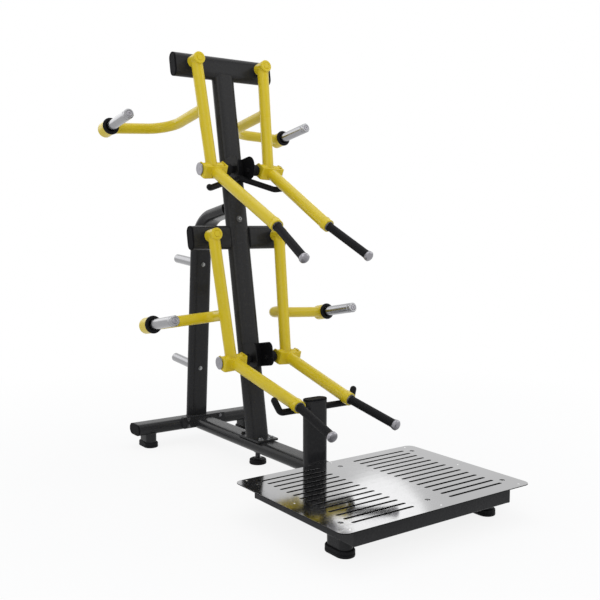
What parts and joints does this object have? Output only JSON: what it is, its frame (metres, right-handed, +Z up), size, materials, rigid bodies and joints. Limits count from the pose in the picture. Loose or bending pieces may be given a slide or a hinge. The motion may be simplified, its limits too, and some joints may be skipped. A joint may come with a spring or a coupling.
{
  "type": "deltoid machine",
  "caption": "Standing plate-loaded deltoid machine: leaning column, two crossbeams, swinging arms with lifting forearms and turning grips, rear post and steel platform.",
  "frame": {"origin": "on the floor, at the centre of the machine's bounding box", "axes": "+X to the user's right across the machine, +Y from the platform towards the rear post, +Z up"},
  "size_m": [1.1308, 2.2006, 2.0466],
  "materials": {
    "black_paint": "gloss powder coat",
    "yellow_paint": "gloss powder coat",
    "chrome": "polished chrome plate",
    "polished_steel": "polished stainless sheet",
    "rubber": "matt black rubber",
    "black_plastic": "fine matt grain"
  },
  "bodies": {
    "root": {"rear_cross_tube": "black_paint", "spine_tube": "black_paint", "rear_post": "black_paint", "column": "black_paint", "upper_crossbeam": "black_paint", "lower_left_crossbeam": "black_paint", "lower_right_crossbeam": "black_paint", "front_post": "black_paint", "lower_rest_bar": "black_paint", "upper_stop_bracket": "black_paint", "upper_rest_bar": "black_paint", "lower_stop_bracket": "black_paint", "upper_left_bumper": "rubber", "upper_right_bumper": "rubber", "lower_left_bumper": "rubber", "lower_right_bumper": "rubber", "upper_storage_horn": "chrome", "lower_storage_horn": "chrome", "platform_frame": "black_paint", "tread_plate": "polished_steel", "front_left_foot_pad": "rubber", "front_right_foot_pad": "rubber", "rear_left_foot_pad": "rubber", "rear_right_foot_pad": "rubber", "levelling_foot": "rubber", "rear_tube_left_cap": "black_plastic", "rear_tube_right_cap": "black_plastic", "upper_beam_left_cap": "black_plastic", "upper_beam_right_cap": "black_plastic", "lower_beam_left_cap": "black_plastic", "lower_beam_right_cap": "black_plastic", "front_post_cap": "black_plastic"},
    "upper_left_arm": {"upper_left_swing_arm": "yellow_paint", "upper_left_weight_horn": "chrome", "upper_left_horn_ring": "rubber"},
    "upper_left_forearm_body": {"upper_left_forearm": "yellow_paint", "upper_left_cross_shaft": "chrome"},
    "upper_left_grip": {"upper_left_grip_shaft": "chrome", "upper_left_grip_sleeve": "rubber"},
    "upper_right_arm": {"upper_right_swing_arm": "yellow_paint", "upper_right_weight_horn": "chrome", "upper_right_horn_ring": "rubber"},
    "upper_right_forearm_body": {"upper_right_forearm": "yellow_paint", "upper_right_cross_shaft": "chrome"},
    "upper_right_grip": {"upper_right_grip_shaft": "chrome", "upper_right_grip_sleeve": "rubber"},
    "lower_left_arm": {"lower_left_swing_arm": "yellow_paint", "lower_left_weight_horn": "chrome", "lower_left_horn_ring": "rubber"},
    "lower_left_forearm_body": {"lower_left_forearm": "yellow_paint", "lower_left_cross_shaft": "chrome"},
    "lower_left_grip": {"lower_left_grip_shaft": "chrome", "lower_left_grip_sleeve": "rubber"},
    "lower_right_arm": {"lower_right_swing_arm": "yellow_paint", "lower_right_weight_horn": "chrome", "lower_right_horn_ring": "rubber"},
    "lower_right_forearm_body": {"lower_right_forearm": "yellow_paint", "lower_right_cross_shaft": "chrome"},
    "lower_right_grip": {"lower_right_grip_shaft": "chrome", "lower_right_grip_sleeve": "rubber"}
  },
  "joints": [
    {"name": "upper_left_swing", "type": "hinge", "parent": "root", "child": "upper_left_arm", "pos_m": [-0.1936, 0.50726, 1.99263], "axis": [0, 0.985, -0.1726], "range_deg": [0, 70]},
    {"name": "upper_left_lift", "type": "hinge", "parent": "upper_left_arm", "child": "upper_left_forearm_body", "pos_m": [-0.16517, 0.35452, 1.46868], "axis": [-0.9986, -0.009, -0.0515], "range_deg": [0, 50]},
    {"name": "upper_left_grip_turn", "type": "hinge", "parent": "upper_left_forearm_body", "child": "upper_left_grip", "pos_m": [-0.14164, -0.1711, 1.19619], "axis": [-0.1127, -0.8792, -0.4629], "continuous": true},
    {"name": "upper_right_swing", "type": "hinge", "parent": "root", "child": "upper_right_arm", "pos_m": [0.1936, 0.50726, 1.99263], "axis": [0, -0.985, 0.1726], "range_deg": [0, 70]},
    {"name": "upper_right_lift", "type": "hinge", "parent": "upper_right_arm", "child": "upper_right_forearm_body", "pos_m": [0.16517, 0.35452, 1.46868], "axis": [-0.9986, 0.009, 0.0515], "range_deg": [0, 50]},
    {"name": "upper_right_grip_turn", "type": "hinge", "parent": "upper_right_forearm_body", "child": "upper_right_grip", "pos_m": [0.14164, -0.1711, 1.19619], "axis": [0.1127, -0.8792, -0.4629], "continuous": true},
    {"name": "lower_left_swing", "type": "hinge", "parent": "root", "child": "lower_left_arm", "pos_m": [-0.1917, 0.35705, 1.13549], "axis": [0, 0.985, -0.1726], "range_deg": [0, 70]},
    {"name": "lower_left_lift", "type": "hinge", "parent": "lower_left_arm", "child": "lower_left_forearm_body", "pos_m": [-0.1593, 0.19124, 0.53698], "axis": [-0.9986, -0.009, -0.0515], "range_deg": [0, 36]},
    {"name": "lower_left_grip_turn", "type": "hinge", "parent": "lower_left_forearm_body", "child": "lower_left_grip", "pos_m": [-0.1398, -0.33822, 0.40898], "axis": [-0.1113, -0.9643, -0.2404], "continuous": true},
    {"name": "lower_right_swing", "type": "hinge", "parent": "root", "child": "lower_right_arm", "pos_m": [0.1917, 0.35705, 1.13549], "axis": [0, -0.985, 0.1726], "range_deg": [0, 70]},
    {"name": "lower_right_lift", "type": "hinge", "parent": "lower_right_arm", "child": "lower_right_forearm_body", "pos_m": [0.1593, 0.19124, 0.53698], "axis": [-0.9986, 0.009, 0.0515], "range_deg": [0, 36]},
    {"name": "lower_right_grip_turn", "type": "hinge", "parent": "lower_right_forearm_body", "child": "lower_right_grip", "pos_m": [0.1398, -0.33822, 0.40898], "axis": [0.1113, -0.9643, -0.2404], "continuous": true}
  ]
}
